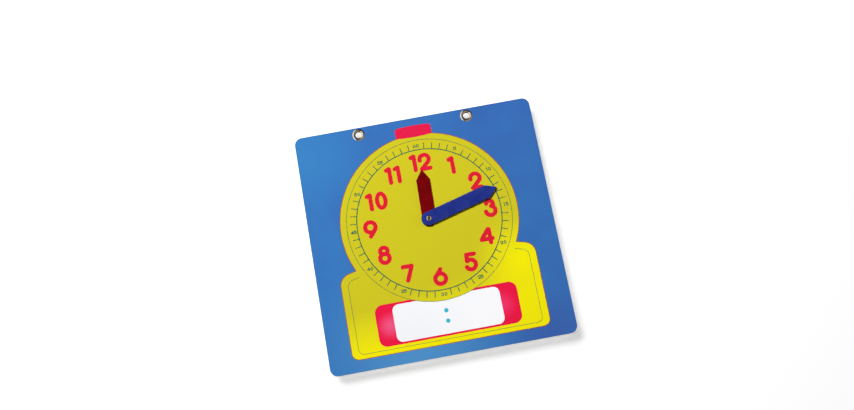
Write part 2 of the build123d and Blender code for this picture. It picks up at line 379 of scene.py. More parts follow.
@functools.cache
def moulded_skin_group() -> Tree:
    """Builds the skin of moulded plastic, once.

    Formula: a slow cloud shifts the colour between two shades, and a fine noise gives the mould's grain,
    whose peaks are a little duller than its pits.

    Returns:
        The node group, with outputs Color, Roughness and Height.
    """
    graph, given, taken = new_group(
        "moulded_skin", ("Deep Color", "Light Color", "Dullness", "Grain Size", "Grain Height"),
        ("Color", "Roughness", "Height"),
    )
    cloud_size, cloud_edges, grain_roughness = 14 * MM, (0.3, 0.7), 0.16
    place = given["Position"]
    cloud = graph.remap(graph.noise(place, cloud_size, detail=3.0, distortion=0.6), *cloud_edges)
    grain = graph.noise(place, given["Grain Size"])
    graph.feed(taken["Color"], graph.mix(cloud, given["Deep Color"], given["Light Color"]))
    duller = graph.spread(grain, grain_roughness)
    graph.feed(taken["Roughness"], graph.math("ADD", given["Dullness"], duller, clamp=True))
    graph.feed(taken["Height"], graph.spread(grain, given["Grain Height"]))
    return graph.tree


@dataclass(frozen=True)
class Finish:
    """A surface finish that pieces share, as a node material. Each kind of finish names its shared groups.

    A field feeds the group input of the same name, so fibre_width feeds Fibre Width.
    """

    name: str

    GROUPS: ClassVar[tuple[Callable[[], Tree], ...]] = ()

    def plain(self) -> dict[str, object]:
        """Returns the shader's values that are the same all over the surface, by input."""
        return {}

    def adjust(self, graph: Graph, position: Socket, given: Sockets) -> None:
        """Changes what the groups give before the shader takes it. Most kinds leave it as it is."""

    def surface(self, graph: Graph, shader: Node) -> Socket:
        """Returns what the material's output shows, which is the shader for most kinds."""
        return shader.outputs["BSDF"]

    def material(self) -> bpy.types.Material:
        """Builds the material from the shared groups and the plain values.

        The groups' Color, Roughness and Emission Color feed the shader, and their Height in metres feeds
        its normal. Where two groups give the same output, the later one holds.

        Returns:
            The new material.
        """
        material = bpy.data.materials.new(self.name)
        material.use_nodes = True
        material.node_tree.nodes.clear()
        graph = Graph(material.node_tree)
        shader = graph.add("ShaderNodeBsdfPrincipled", self.plain())
        position = graph.add("ShaderNodeTexCoord").outputs["Object"]
        given: Sockets = {}
        for build_group in self.GROUPS:
            group = graph.add("ShaderNodeGroup", node_tree=build_group())
            graph.feed(group.inputs["Position"], position)
            for socket in group.inputs[1:]:
                graph.feed(socket, getattr(self, socket.name.lower().replace(" ", "_")))
            given.update({socket.name: socket for socket in group.outputs})
        self.adjust(graph, position, given)
        targets = {"Color": "Base Color", "Roughness": "Roughness", "Emission Color": "Emission Color"}
        for name, target in targets.items():
            if name in given:
                graph.feed(shader.inputs[target], given[name])
        bump = graph.add("ShaderNodeBump", {"Strength": 1.0, "Distance": 1.0, "Height": given["Height"]})
        graph.feed(shader.inputs["Normal"], bump.outputs["Normal"])
        graph.add("ShaderNodeOutputMaterial", {"Surface": self.surface(graph, shader)})
        return material


@dataclass(frozen=True)
class PaintedLightPatch:
    """A round spot of painted light that fades into the ink around it: lighter for painted sheen, darker for
    painted shade. Its place is an X and a Z.
    """

    color: Color
    place: Pair
    radius: float


@dataclass(frozen=True)
class LaminatedInk(Finish):
    """Printer's ink with random tone and a painted gradient of light and shade, under the clear writing film,
    which waves gently. Lighter round marks on it are painted sheen, and darker ones painted shade.
    """

    near_color: Color
    far_color: Color
    slope: Place = (0.0, 0.0, 0.0)
    shift: float = 0.5
    mottle: float = 0.5
    grain: float = 0.05
    painted_light_patches: tuple[PaintedLightPatch, ...] = ()
    gloss: float = 0.13
    haze: float = 0.10
    film_ior: float = 1.45
    wave_size: float = 46 * MM
    wave_height: float = 0.10 * MM
    pebble_size: float = 2.4 * MM
    pebble_height: float = 0.0012 * MM

    GROUPS = (ink_tone_and_painted_light_group, film_relief_group)

    def plain(self) -> dict[str, object]:
        """Returns how strongly the film bends light."""
        return {"IOR": self.film_ior}

    def adjust(self, graph: Graph, position: Socket, given: Sockets) -> None:
        """Lays each painted spot of sheen and shade over the ink, and makes the film duller where its haze
        is.

        Formula: a patch's share falls smoothly from one at its middle to nothing at its radius, by the
        distance across the sheet. The roughness is the gloss plus the haze's share of the haze.

        Args:
            graph: The material's graph.
            position: The position that its patterns read.
            given: What the groups give, which is changed.
        """
        if self.painted_light_patches:
            flat = graph.vector("MULTIPLY", position, (1.0, 0.0, 1.0))
        # Each spot paints a soft mark of sheen or of shade into the ink's colour.
        for patch in self.painted_light_patches:
            middle = (patch.place[0], 0.0, patch.place[1])
            apart = graph.vector("DISTANCE", flat, middle, output="Value")
            given["Color"] = graph.mix(graph.remap(apart, patch.radius, 0.0), given["Color"], patch.color)
        haze = graph.math("MULTIPLY", given["Haze"], self.haze)
        given["Roughness"] = graph.math("ADD", haze, self.gloss)


@dataclass(frozen=True)
class FilmOverPaper(Finish):
    """Evenly glossy clear film that lies flat on plain paper: the board's back, and the film's cut edge."""

    clean_color: Color
    fleck_color: Color
    gloss: float = 0.22
    film_ior: float = 1.45
    fibre_width: float = 0.9 * MM
    fibre_height: float = 0.0
    flecks: float = 0.35
    wave_size: float = 52 * MM
    wave_height: float = 0.0
    pebble_size: float = 2.6 * MM
    pebble_height: float = 0.0016 * MM

    GROUPS = (fibre_group, film_relief_group)

    def plain(self) -> dict[str, object]:
        """Returns the film's one gloss, and how strongly it bends light."""
        return {"Roughness": self.gloss, "IOR": self.film_ior}


@dataclass(frozen=True)
class Fibre(Finish):
    """Bare paper or chipboard with darker flecks, as it shows on the board's cut edges."""

    clean_color: Color
    fleck_color: Color
    fibre_width: float
    fibre_height: float = 0.08 * MM
    flecks: float = 1.0
    roughness: float = 0.88

    GROUPS = (fibre_group,)

    def plain(self) -> dict[str, object]:
        """Returns the fibres' matt roughness."""
        return {"Roughness": self.roughness}


@dataclass(frozen=True)
class PressedMetal(Finish):
    """Thin plated sheet metal, drawn and rolled to shape, with dull clouds and fine drawing marks.

    Inside a tube, from the Y of its mouth on, the colour fades to a painted shade for the shadow in the tube.
    A flat part has no mouth: its mouth lies a metre off.
    """

    clean_color: Color
    dull_color: Color
    polish: float
    painted_shade_color: Color = GREY
    mouth: float = 1.0
    fade: float = 1.0
    mark_height: float = 0.002 * MM

    GROUPS = (pressed_metal_group,)

    def plain(self) -> dict[str, object]:
        """Returns that the surface is metal all over."""
        return {"Metallic": 1.0}


@dataclass(frozen=True)
class MouldedPlastic(Finish):
    """Coloured plastic with a satin moulded skin, whose shade drifts a little."""

    deep_color: Color
    light_color: Color
    dullness: float = 0.34
    shine: float = 0.5
    plastic_ior: float = 1.46
    grain_size: float = 0.5 * MM
    grain_height: float = 0.004 * MM

    GROUPS = (moulded_skin_group,)

    def plain(self) -> dict[str, object]:
        """Returns how strongly the plastic bends and mirrors light."""
        return {"IOR": self.plastic_ior, "Specular IOR Level": self.shine}


@dataclass(frozen=True)
class StudioPaint(Finish):
    """Matt paint with a faint roller texture. Its glow lifts it to a clean white."""

    color: Color
    glow: float
    roughness: float = 0.95
    roller_size: float = 3 * MM
    roller_height: float = 0.02 * MM

    def plain(self) -> dict[str, object]:
        """Returns the paint's colour, its dullness and its own light."""
        return {
            "Base Color": self.color, "Roughness": self.roughness, "Specular IOR Level": 0.0,
            "Emission Color": WHITE, "Emission Strength": self.glow,
        }

    def adjust(self, graph: Graph, position: Socket, given: Sockets) -> None:
        """Gives the surface the height of its roller marks."""
        marks = graph.noise(position, self.roller_size, detail=3.0)
        given["Height"] = graph.spread(marks, self.roller_height)


@dataclass(frozen=True)
class WallPaint(StudioPaint):
    """Studio paint with a painted shadow behind the board, far darker right behind the rivet, and clear from
    behind.
    """

    wall_y: float = 15 * MM
    board_middle: float = -143 * MM
    board_half: float = 152.4 * MM
    board_edges: Pair = (-3 * MM, 1.5 * MM)
    board_share: float = 0.66
    rivet_spot: Pair = (-0.5 * MM, -122.0 * MM)
    rivet_edges: Pair = (6 * MM, 9.5 * MM)
    rivet_share: float = 0.12

    def adjust(self, graph: Graph, position: Socket, given: Sockets) -> None:
        """Paints a shadow behind the board into the paint and its glow, and a far darker one right behind the
        rivet.

        Formula: a place is beyond the board by the larger of its distances from the board's middle across
        and up, less half the board's width. The light's share rises smoothly over the board's edges, and over
        the rivet's by the distance to its spot, and the two shares are multiplied.

        Args:
            graph: The paint's graph.
            position: The position that its patterns read.
            given: What feeds the shader, which is added to.
        """
        super().adjust(graph, position, given)
        middle = (0.0, self.wall_y, self.board_middle)
        offset = graph.vector("ABSOLUTE", graph.vector("SUBTRACT", position, middle))
        reach = graph.add("ShaderNodeSeparateXYZ", {0: offset}).outputs
        beyond = graph.math("SUBTRACT", graph.math("MAXIMUM", reach["X"], reach["Z"]), self.board_half)
        spot = (self.rivet_spot[0], self.wall_y, self.rivet_spot[1])
        apart = graph.vector("DISTANCE", position, spot, output="Value")
        # Painted shadow: the paint's colour and its glow are scaled down by this share of light.
        lit = graph.math(
            "MULTIPLY", graph.remap(beyond, *self.board_edges, self.board_share),
            graph.remap(apart, *self.rivet_edges, self.rivet_share),
        )
        given["Color"] = graph.mix(lit, BLACK, self.color)
        given["Emission Color"] = graph.mix(lit, BLACK, WHITE)

    def surface(self, graph: Graph, shader: Node) -> Socket:
        """Shows the paint on the wall's front and nothing on its back.

        Args:
            graph: The paint's graph.
            shader: The paint's shader.

        Returns:
            The mix of the shader and of clear air.
        """
        behind = graph.add("ShaderNodeNewGeometry").outputs["Backfacing"]
        clear = graph.add("ShaderNodeBsdfTransparent").outputs["BSDF"]
        sides = {0: behind, 1: shader.outputs["BSDF"], 2: clear}
        return graph.add("ShaderNodeMixShader", sides).outputs["Shader"]


# Blue ink: its slope paints shade darker towards the right and the top; its round marks are painted sheen,
# lighter, and painted shade, darker at the lower right.
BLUE_FIELD = LaminatedInk(
    "blue_field_ink", srgb(56, 117, 184), srgb(54, 99, 172), slope=(1.4, 0.0, 1.0), mottle=1.2,
    painted_light_patches=(
        PaintedLightPatch(srgb(77, 141, 197), (-42 * MM, -292 * MM), 145 * MM),
        PaintedLightPatch(srgb(58, 97, 171), (122 * MM, -290 * MM), 80 * MM),
        PaintedLightPatch(srgb(56, 124, 185), (-142 * MM, -20 * MM), 90 * MM),
    ),
)
# Yellow ink: its slope paints the dial darker and more olive than the base, and the left darker than the
# right; its round mark is a painted highlight on the base's right.
YELLOW_CLOCK = LaminatedInk(
    "yellow_clock_ink", srgb(241, 230, 8), srgb(203, 193, 34), slope=(-3.5, 0.0, 19.4), shift=4.99,
    mottle=0.35, painted_light_patches=(PaintedLightPatch(srgb(245, 235, 6), (104 * MM, -196 * MM), 68 * MM),),
)
EDGE_LINE = LaminatedInk("edge_line_ink", srgb(182, 70, 28), srgb(168, 62, 32))
RED_PRINT = LaminatedInk("red_tab_ink", srgb(221, 26, 66), srgb(219, 32, 74), mottle=0.8)
# Red frame ink: its two pink round marks beside the white panel are painted sheen.
RED_FRAME = LaminatedInk(
    "red_frame_ink", srgb(234, 21, 62), srgb(232, 28, 74), mottle=0.8,
    painted_light_patches=(
        PaintedLightPatch(srgb(238, 84, 132), (-71 * MM, -247 * MM), 20 * MM),
        PaintedLightPatch(srgb(242, 52, 106), (68 * MM, -246 * MM), 21 * MM),
    ),
)
RED_NUMERAL = LaminatedInk("red_numeral_ink", srgb(219, 28, 47), srgb(217, 34, 56), mottle=0.6)
# White panel ink: its slope paints it lighter towards the right.
WHITE_PANEL = LaminatedInk(
    "white_panel_ink", srgb(240, 241, 246), srgb(253, 253, 255), slope=(5.0, 0.0, 0.0), grain=0.01,
)
LINE_GREEN = LaminatedInk("line_ink", srgb(22, 98, 80), srgb(30, 104, 74))
DOT_CYAN = LaminatedInk("colon_dot_ink", srgb(45, 181, 208), srgb(52, 186, 212))
BACK_LAMINATE = FilmOverPaper("back_laminate", srgb(238, 238, 234), srgb(214, 212, 204))
FILM_EDGE = FilmOverPaper("film_edge", srgb(222, 228, 232), srgb(206, 212, 216))
PLAIN_PAPER = Fibre("plain_paper_edge", srgb(240, 239, 234), srgb(205, 200, 188), fibre_width=0.6 * MM)
CHIPBOARD = Fibre("chipboard_edge", srgb(172, 160, 140), srgb(110, 98, 80), fibre_width=0.7 * MM)
# The eyelet's and the rivet's darker colours are painted shade inside their tubes.
NICKEL = PressedMetal(
    "eyelet_nickel", (0.92, 0.87, 0.78), (0.74, 0.66, 0.50), polish=0.14,
    painted_shade_color=(0.42, 0.36, 0.24), mouth=-3.0 * MM, fade=1.2 * MM,
)
BRASS = PressedMetal(
    "rivet_brass", (0.90, 0.80, 0.60), (0.66, 0.54, 0.34), polish=0.18,
    painted_shade_color=(0.22, 0.16, 0.06), mouth=-6.5 * MM, fade=0.5 * MM,
)
WASHER_METAL = PressedMetal("washer_metal", (0.86, 0.82, 0.74), (0.66, 0.60, 0.48), polish=0.2)
RED_PLASTIC = MouldedPlastic("hour_hand_plastic", srgb(102, 2, 4), srgb(116, 4, 9), shine=0.3)
BLUE_PLASTIC = MouldedPlastic("minute_hand_plastic", srgb(28, 43, 124), srgb(38, 52, 134), shine=0.4)
CLEAR_NYLON = MouldedPlastic("washer_nylon", srgb(214, 216, 214), srgb(230, 232, 230), dullness=0.42)
FLOOR_PAINT = StudioPaint("floor_paint", GREY, glow=0.8)
WALL_PAINT = WallPaint("wall_paint", (0.78, 0.78, 0.78), glow=0.5)


@functools.cache
def material_of(finish: Finish) -> bpy.types.Material:
    """Returns the finish's material, which is made once and shared."""
    return finish.material()


def dress(node_name: str, finish: Finish) -> None:
    """Gives a CAD node its finish, with its mesh left as it is.

    Args:
        node_name: The CAD node's name.
        finish: The finish that it shows.
    """
    for material_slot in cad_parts[node_name].material_slots:
        material_slot.material = material_of(finish)
    log.info("dressed %s with %s", node_name, finish.name)


def add_mesh(name: str, points: Grid, faces: Faces, finish: Finish) -> Piece:
    """Adds a mesh object at the origin, with its points already in place.

    Args:
        name: The object's name.
        points: Its points, one row each, in metres.
        faces: Its faces, as lists of point numbers.
        finish: The finish that it shows.

    Returns:
        The new object.
    """
    mesh = bpy.data.meshes.new(name)
    mesh.from_pydata(points.tolist(), [], faces)
    mesh.materials.append(material_of(finish))
    piece = bpy.data.objects.new(name, mesh)
    bpy.context.scene.collection.objects.link(piece)
    return piece


def make_piece(name: str, points: Grid, faces: Faces, finish: Finish, sharp_angle: float) -> Piece:
    """Makes a smooth piece of the clock.

    Args:
        name: The piece's name.
        points: Its points, one row each, in metres.
        faces: Its faces, as lists of point numbers.
        finish: The finish that it shows.
        sharp_angle: Edges that turn more than this many degrees stay sharp.

    Returns:
        The new piece.
    """
    piece = add_mesh(name, points, faces, finish)
    piece.data.polygons.foreach_set("use_smooth", np.ones(len(faces), bool))
    piece.data.set_sharp_from_angle(angle=math.radians(sharp_angle))
    piece.data.update()
    return piece


def seat(piece: Piece, body: Body, slot: Slot, *replaced: str) -> None:
    """Joins a new piece to its body, hides the CAD nodes that it stands for, and reports it.

    Args:
        piece: The new piece, in its place.
        body: The body that it rides on.
        slot: The record's slot for the piece. Not used.
        *replaced: The CAD nodes that it stands for.
    """
    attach(piece, body.value)
    if replaced:
        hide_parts(*replaced)
    log.info("made %s: %d faces, rides on %s", piece.name, len(piece.data.polygons), body.value)


def wrapped_faces(rows: int, columns: int) -> Faces:
    """Returns the four-cornered faces of a grid that closes on itself both ways.

    Formula: the face at row i and column j joins the points (i, j), (i, j+1), (i+1, j+1) and (i+1, j), each
    number taken round its own count.

    Args:
        rows: The number of rows of points.
        columns: The number of columns of points.

    Returns:
        The faces, for points that are numbered row by row.
    """
    row, column = np.meshgrid(np.arange(rows), np.arange(columns), indexing="ij")
    next_row, next_column = (row + 1) % rows, (column + 1) % columns
    corners = ((row, column), (row, next_column), (next_row, next_column), (next_row, column))
    return np.stack([i * columns + j for i, j in corners], -1).reshape(-1, 4).tolist()


def arc(center: Pair, radii: Pair, start: float, end: float, steps: int = 32) -> Grid:
    """Returns points on an arc of an ellipse.

    Formula: center + (radius across * cosine, radius up * sine) of the angle.

    Args:
        center: The ellipse's centre.
        radii: Its radius across and its radius up.
        start: The first angle in degrees, anticlockwise from the right.
        end: The last angle in degrees.
        steps: The number of spans.

    Returns:
        One row for each point.
    """
    turn = np.radians(np.linspace(start, end, steps + 1))
    return np.stack([center[0] + radii[0] * np.cos(turn), center[1] + radii[1] * np.sin(turn)], -1)


def line(*points: Pair) -> Grid:
    """Returns the points of straight spans, one row each."""
    return np.array(points)


class PenDigits:
    """The strokes of plain round-ended digits, in millimetres about each digit's own centre.

    A digit is drawn with a round pen along lines and arcs. Its pen lines are 17 to 19 mm tall.
    """

    BOWL_OF_FIVE = arc((-0.7, -3.5), (6.0, 6.1), 128, -158)
    STROKES = {
        "0": [arc((0, 0.2), (5.2, 9.2), 0, 360, steps=64)],
        "1": [line((-2.8, 8.0), (0.5, 9.4)), line((1.1, 9.4), (1.1, -8.7))],
        "2": [np.vstack([arc((-0.6, 3.4), (5.9, 5.8), 190, -42), line((-5.4, -9.0), (5.4, -9.0))])],
        "3": [arc((-0.3, 5.7), (4.3, 4.0), 168, -62), arc((-0.5, -2.9), (6.0, 5.9), 76, -176)],
        "4": [
            line((2.6, 8.0), (-7.2, -3.7)), line((-7.2, -4.2), (6.3, -4.2)), line((3.6, 7.7), (3.6, -9.1)),
        ],
        "5": [
            line((5.1, 9.3), (-4.4, 9.3)), np.vstack([line((-4.4, 9.3), (-4.9, 2.0)), BOWL_OF_FIVE[:4]]),
            BOWL_OF_FIVE,
        ],
        "6": [line((1.5, 9.0), (-5.6, 0.6)), arc((-0.1, -2.6), (6.6, 6.4), 0, 360, steps=64)],
        "7": [line((-6.0, 8.7), (5.2, 8.7), (-2.2, -8.8))],
        "8": [
            arc((-0.2, 5.6), (4.6, 4.2), 0, 360, steps=48), arc((-0.3, -3.7), (5.8, 5.7), 0, 360, steps=64),
        ],
        "9": [arc((-0.4, 2.8), (6.5, 6.5), 0, 360, steps=64), line((5.4, -0.6), (-1.6, -8.9))],
    }

    @classmethod
    def number(cls, text: str, centers: tuple[float, ...]) -> list[Grid]:
        """Returns the pen lines of a whole number.

        Args:
            text: The number's digits.
            centers: Each digit's centre from left to right, in millimetres.

        Returns:
            A list of strokes, each with one row for each point.
        """
        return [
            stroke + np.array([x, 0.0]) for digit, x in zip(text, centers) for stroke in cls.STROKES[digit]
        ]


def pen_distance(strokes: list[Grid], across: Grid, up: Grid) -> Grid:
    """Measures how far each point of a grid lies from the nearest pen line.

    Formula: for each straight span from a to b, the nearest place is a + (b - a) * t, where t is the
    point's own share along the span held between 0 and 1. The least distance over all spans is kept.

    Args:
        strokes: The pen lines.
        across: The grid's places from left to right.
        up: The grid's places from bottom to top.

    Returns:
        The distances, one row for each place across.
    """
    starts = np.vstack([stroke[:-1] for stroke in strokes])
    spans = np.vstack([np.diff(stroke, axis=0) for stroke in strokes])
    places = np.stack(np.meshgrid(across, up, indexing="ij"), -1)[:, :, None, :]
    shares = ((places - starts) * spans).sum(-1) / np.maximum((spans**2).sum(-1), TINY)
    nearest = starts + spans * np.clip(shares, 0, 1)[..., None]
    return np.linalg.norm(places - nearest, axis=-1).min(-1)


def crossing(first: Grid, second: Grid, first_place: Grid, second_place: Grid) -> Grid:
    """Finds where a value is zero between neighbours of a grid.

    Formula: the place lies first / (first - second) of the way along, held between 0 and 1, and in the
    middle where the two values are the same.

    Args:
        first: The value at the first neighbours.
        second: The value at the second neighbours.
        first_place: Where the first neighbours lie.
        second_place: Where the second neighbours lie.

    Returns:
        The places, one row each.
    """
    drop = first - second
    steep = np.abs(drop) > TINY
    share = np.where(steep, first / np.where(steep, drop, 1), 0.5)
    return (first_place + (second_place - first_place) * np.clip(share, 0, 1)[..., None]).reshape(-1, 2)


def cut_plate(depth: Grid, across: Grid, up: Grid, front: float, back: float) -> tuple[Grid, Faces]:
    """Cuts a flat plate out of a grid where a value is below zero.

    Formula: in each cell of the grid the outline crosses an edge where the value, taken as straight along
    that edge, is zero. The corners below zero and these crossings, read round the cell, make its face. The
    same faces are laid at the front and, turned over, at the back, and a wall joins the two along every span
    between two crossings.

    Args:
        depth: The value at each grid point, below zero inside the plate.
        across: The grid's places along X.
        up: The grid's places along Z.
        front: The Y of the front face.
        back: The Y of the back face.

    Returns:
        The points, and the faces that join them.
    """
    columns, rows = depth.shape
    corner = np.arange(columns * rows).reshape(columns, rows)
    level = columns * rows + np.arange((columns - 1) * rows).reshape(columns - 1, rows)
    upright = level[-1, -1] + 1 + np.arange(columns * (rows - 1)).reshape(columns, rows - 1)
    places = np.stack(np.meshgrid(across, up, indexing="ij"), -1)
    flat = np.vstack([
        places.reshape(-1, 2),
        crossing(depth[:-1], depth[1:], places[:-1], places[1:]),
        crossing(depth[:, :-1], depth[:, 1:], places[:, :-1], places[:, 1:]),
    ])
    corners = (corner[:-1, :-1], corner[1:, :-1], corner[1:, 1:], corner[:-1, 1:])
    edges = (level[:, :-1], upright[1:], level[:, 1:], upright[:-1])
    inside = depth.ravel() < 0
    code = sum(inside[numbers].astype(int) << k for k, numbers in enumerate(corners))
    faces, walls = [], []
    for case in range(1, 16):
        chosen = code == case
        if not chosen.any():
            continue
        ring, crossed = [], []
        for k in range(4):
            here, there = case >> k & 1, case >> (k + 1) % 4 & 1
            if here:
                ring.append(corners[k][chosen])
                crossed.append(False)
            if here != there:
                ring.append(edges[k][chosen])
                crossed.append(True)
        faces.append(np.stack(ring, -1))
        for k, ring_part in enumerate(ring):
            following = (k + 1) % len(ring)
            if crossed[k] and crossed[following]:
                walls.append(np.stack([ring_part, ring[following]], -1))
    used = np.unique(np.concatenate([face.ravel() for face in faces]))
    renumber = np.zeros(len(flat), int)
    renumber[used] = np.arange(len(used))
    kept, count = flat[used], len(used)
    sides = [np.column_stack([kept[:, 0], np.full(count, y), kept[:, 1]]) for y in (front, back)]
    joined = renumber[np.vstack(walls)]
    wall_faces = np.stack([joined[:, 0], joined[:, 0] + count, joined[:, 1] + count, joined[:, 1]], -1)
    front_faces = [row for face in faces for row in renumber[face].tolist()]
    back_faces = [row for face in faces for row in (renumber[face][:, ::-1] + count).tolist()]
    return np.vstack(sides), front_faces + back_faces + wall_faces.tolist()


@dataclass
class Dial:
    """The places on the printed dial that the numerals and the hands follow, in metres."""

    center: Pair = (-0.7 * MM, -124.25 * MM)
    ink_front: float = -2.73 * MM
    ink_back: float = -2.70 * MM


@dataclass
class PrintedNumerals:
    """Numbers on the dial, each a thin printed plate of its own. Its lengths and places are in millimetres.

    A number's place is its centre, measured from the dial's centre.
    """

    dial: Dial
    pen: float
    pitch: float

    PREFIX: ClassVar[str] = ""
    INK: ClassVar[Finish] = LINE_GREEN
    SLOT: ClassVar[Slot] = Slot.GREEN_INK
    PLACES: ClassVar[dict[str, Pair]] = {}

    def strokes(self, text: str) -> list[Grid]:
        """Returns a number's pen lines about its own centre. Each kind of numeral gives its own."""
        raise NotImplementedError(text)

    def build(self) -> None:
        """Makes one piece for each number.

        Formula: the plate is cut from a grid where the distance to the nearest pen line, less half the pen,
        is below zero.
        """
        for text, (x, z) in self.PLACES.items():
            strokes = self.strokes(text)
            low = np.vstack(strokes).min(0) - self.pen
            high = np.vstack(strokes).max(0) + self.pen
            across, up = (np.arange(a, b, self.pitch) for a, b in zip(low, high))
            depth = pen_distance(strokes, across, up) - self.pen / 2
            points, faces = cut_plate(
                depth, (across + x) * MM + self.dial.center[0], (up + z) * MM + self.dial.center[1],
                self.dial.ink_front, self.dial.ink_back,
            )
            piece = make_piece(f"{self.PREFIX}_{text}", points, faces, self.INK, sharp_angle=30.0)
            seat(piece, Body.BOARD, self.SLOT)


@dataclass
class HourNumerals(PrintedNumerals):
    """The twelve red numerals, with their digits set as close as the print has them."""

    pen: float = 5.35
    pitch: float = 0.3

    PREFIX = "hour_numeral"
    INK = RED_NUMERAL
    SLOT = Slot.RED_INK
    PLACES = {
        "12": (2.1, 73.6), "1": (40.4, 62.6), "2": (66.6, 37.7), "3": (77.9, -0.8), "4": (66.6, -34.4),
        "5": (41.1, -62.8), "6": (0.4, -74.2), "7": (-37.3, -63.1), "8": (-62.7, -35.6), "9": (-74.0, -0.2),
        "10": (-61.1, 33.7), "11": (-34.8, 63.0),
    }
    CENTERS = {"10": (-8.5, 5.9), "11": (-5.3, 6.0), "12": (-8.6, 5.8)}

    def strokes(self, text: str) -> list[Grid]:
        """Returns an hour's pen lines."""
        return PenDigits.number(text, self.CENTERS.get(text, (0.0,)))


@dataclass
class MinuteNumerals(PrintedNumerals):
    """The small upright numerals for every fifth minute, with wide round digits."""

    pen: float = 0.92
    pitch: float = 0.1
    scale: Pair = (0.24, 0.19)
    gap: float = 4.1
    narrow_gap: float = 3.6

    PREFIX = "minute_numeral"
    PLACES = {
        "60": (0.0, 96.0), "5": (48.1, 83.9), "10": (84.6, 49.5), "15": (97.4, 1.0), "20": (85.3, -46.3),
        "25": (49.3, -83.4), "30": (1.2, -96.5), "35": (-47.1, -83.9), "40": (-83.2, -49.3),
        "45": (-95.8, -0.2), "50": (-83.6, 47.3), "55": (-48.4, 82.6),
    }

    def strokes(self, text: str) -> list[Grid]:
        """Returns a minute's pen lines.

        Args:
            text: The number's digits. Where it starts with 1 or ends with 5 they stand closer.

        Returns:
            The strokes, with the digits evenly about the number's centre.
        """
        step = (self.narrow_gap if text.startswith("1") or text.endswith("5") else self.gap) / self.scale[0]
        centers = tuple(index * step - step * (len(text) - 1) / 2 for index in range(len(text)))
        return [stroke * self.scale for stroke in PenDigits.number(text, centers)]


class DressedNodes:
    """CAD nodes that keep their own shape and get a finish."""

    FINISHES: ClassVar[dict[str, Finish]] = {}

    def dress(self) -> None:
        """Gives each node its finish."""
        for node_name, finish in self.FINISHES.items():
            dress(node_name, finish)


class BoardPanel(DressedNodes):
    """The stiff board under the print: core, sheets and films."""

    FINISHES = {
        "board_core": CHIPBOARD, "printed_sheet": PLAIN_PAPER, "backing_sheet": PLAIN_PAPER,
        "writing_film": FILM_EDGE, "back_film": BACK_LAMINATE,
    }


class PrintedFace(DressedNodes):
    """The printed areas and lines of the front."""

    FINISHES = {
        "blue_field_print": BLUE_FIELD, "yellow_clock_print": YELLOW_CLOCK, "edge_line_print": EDGE_LINE,
        "tab_print": RED_PRINT, "writing_frame_print": RED_FRAME, "writing_panel_print": WHITE_PANEL,
        "dial_lines_print": LINE_GREEN, "colon_dots_print": DOT_CYAN,
    }


@dataclass
class RolledTube:
    """A thin metal tube with a rolled head in front and a clinched tail behind, about an axis along Y."""

    bore: float
    head_radius: float
    head_height: float
    head_seat: float
    tail_radius: float
    tail_height: float
    petals: int
    crimp: float
    tail_seat: float = 0.4 * MM
    wall: float = 0.35 * MM
    crest: float = 0.52
    sharpness: float = 1.4
    notch_power: int = 12
    head_steps: int = 14
    tail_steps: int = 20
    columns: int = 144

    def profile(self) -> tuple[Grid, Grid, Grid]:
        """Works out the section of the tube, once round its wall.

        Formula: the head is two quarter arcs that meet at the crest, one down to the rim and one into the
        bore. Each is a power of the cosine and the sine, which makes the crest a little sharper than an
        ellipse's. The tail is half an ellipse. Between them run the bore and, back along the outside, the
        tube's wall.

        Returns:
            The radius, the Y, and how far each point follows the tail's crimp, from 0 to 1.
        """
        crest = self.bore + (self.head_radius - self.bore) * self.crest
        quarter = np.clip(arc((0.0, 0.0), (1.0, 1.0), 0, 90, self.head_steps), 0, 1) ** self.sharpness
        rim = quarter * (self.head_radius - crest, self.head_height) + (crest, 0.0)
        mouth = quarter[::-1] * (self.bore - crest, self.head_height) + (crest, 0.0)
        head = np.vstack([rim[:-1], mouth])
        tail_radii = ((self.tail_radius - self.bore) / 2, self.tail_height)
        tail = arc(((self.bore + self.tail_radius) / 2, 0.0), tail_radii, 180, 0, self.tail_steps)
        outside = self.bore + self.wall
        radius = np.concatenate([head[:, 0], tail[:, 0], [outside, outside]])
        wall_ends = [self.tail_seat, self.head_seat]
        y = np.concatenate([self.head_seat - head[:, 1], self.tail_seat + tail[:, 1], wall_ends])
        share = (tail[:, 0] - self.bore) / (self.tail_radius - self.bore)
        crimped = np.concatenate([np.zeros(len(head)), share, [0.0, 0.0]])
        return radius, y, crimped

    def build(self, name: str, center: Pair, finish: Finish) -> Piece:
        """Turns the section round the axis.

        Formula: at each angle the point is center + radius * (cosine, sine). On the tail the radius also
        shrinks by the crimp times a narrow notch, a high power of a cosine that peaks once for each petal.

        Args:
            name: The piece's name.
            center: The axis's X and Z.
            finish: The metal's finish.

        Returns:
            The new piece.
        """
        radius, y, crimped = self.profile()
        turn = np.linspace(0, math.tau, self.columns, endpoint=False)
        notch = (0.5 + 0.5 * np.cos(self.petals * turn)) ** self.notch_power
        reach = radius[:, None] - self.crimp * crimped[:, None] ** 2 * notch[None, :]
        x, z = center[0] + reach * np.cos(turn), center[1] + reach * np.sin(turn)
        points = np.stack([x, np.broadcast_to(y[:, None], reach.shape), z], -1).reshape(-1, 3)
        return make_piece(name, points, wrapped_faces(*reach.shape), finish, sharp_angle=40.0)


@dataclass
class Eyelet:
    """One rolled eyelet of the top edge, with its washer behind the board."""

    side: Side
    spacing: float = 140.0 * MM

    def build(self) -> None:
        """Makes the eyelet and dresses its washer."""
        tube = RolledTube(
            bore=4.2 * MM, head_radius=8.0 * MM, head_height=1.3 * MM, head_seat=-2.70 * MM,
            tail_radius=6.2 * MM, tail_height=0.75 * MM, petals=8, crimp=0.5 * MM,
        )
        prefix = self.side.name.lower()
        piece = tube.build(f"{prefix}_eyelet_rolled", (self.side.value * self.spacing / 2, 0.0), NICKEL)
        seat(piece, Body.BOARD, Slot.NICKEL, f"{prefix}_eyelet")
        dress(f"{prefix}_eyelet_washer", WASHER_METAL)


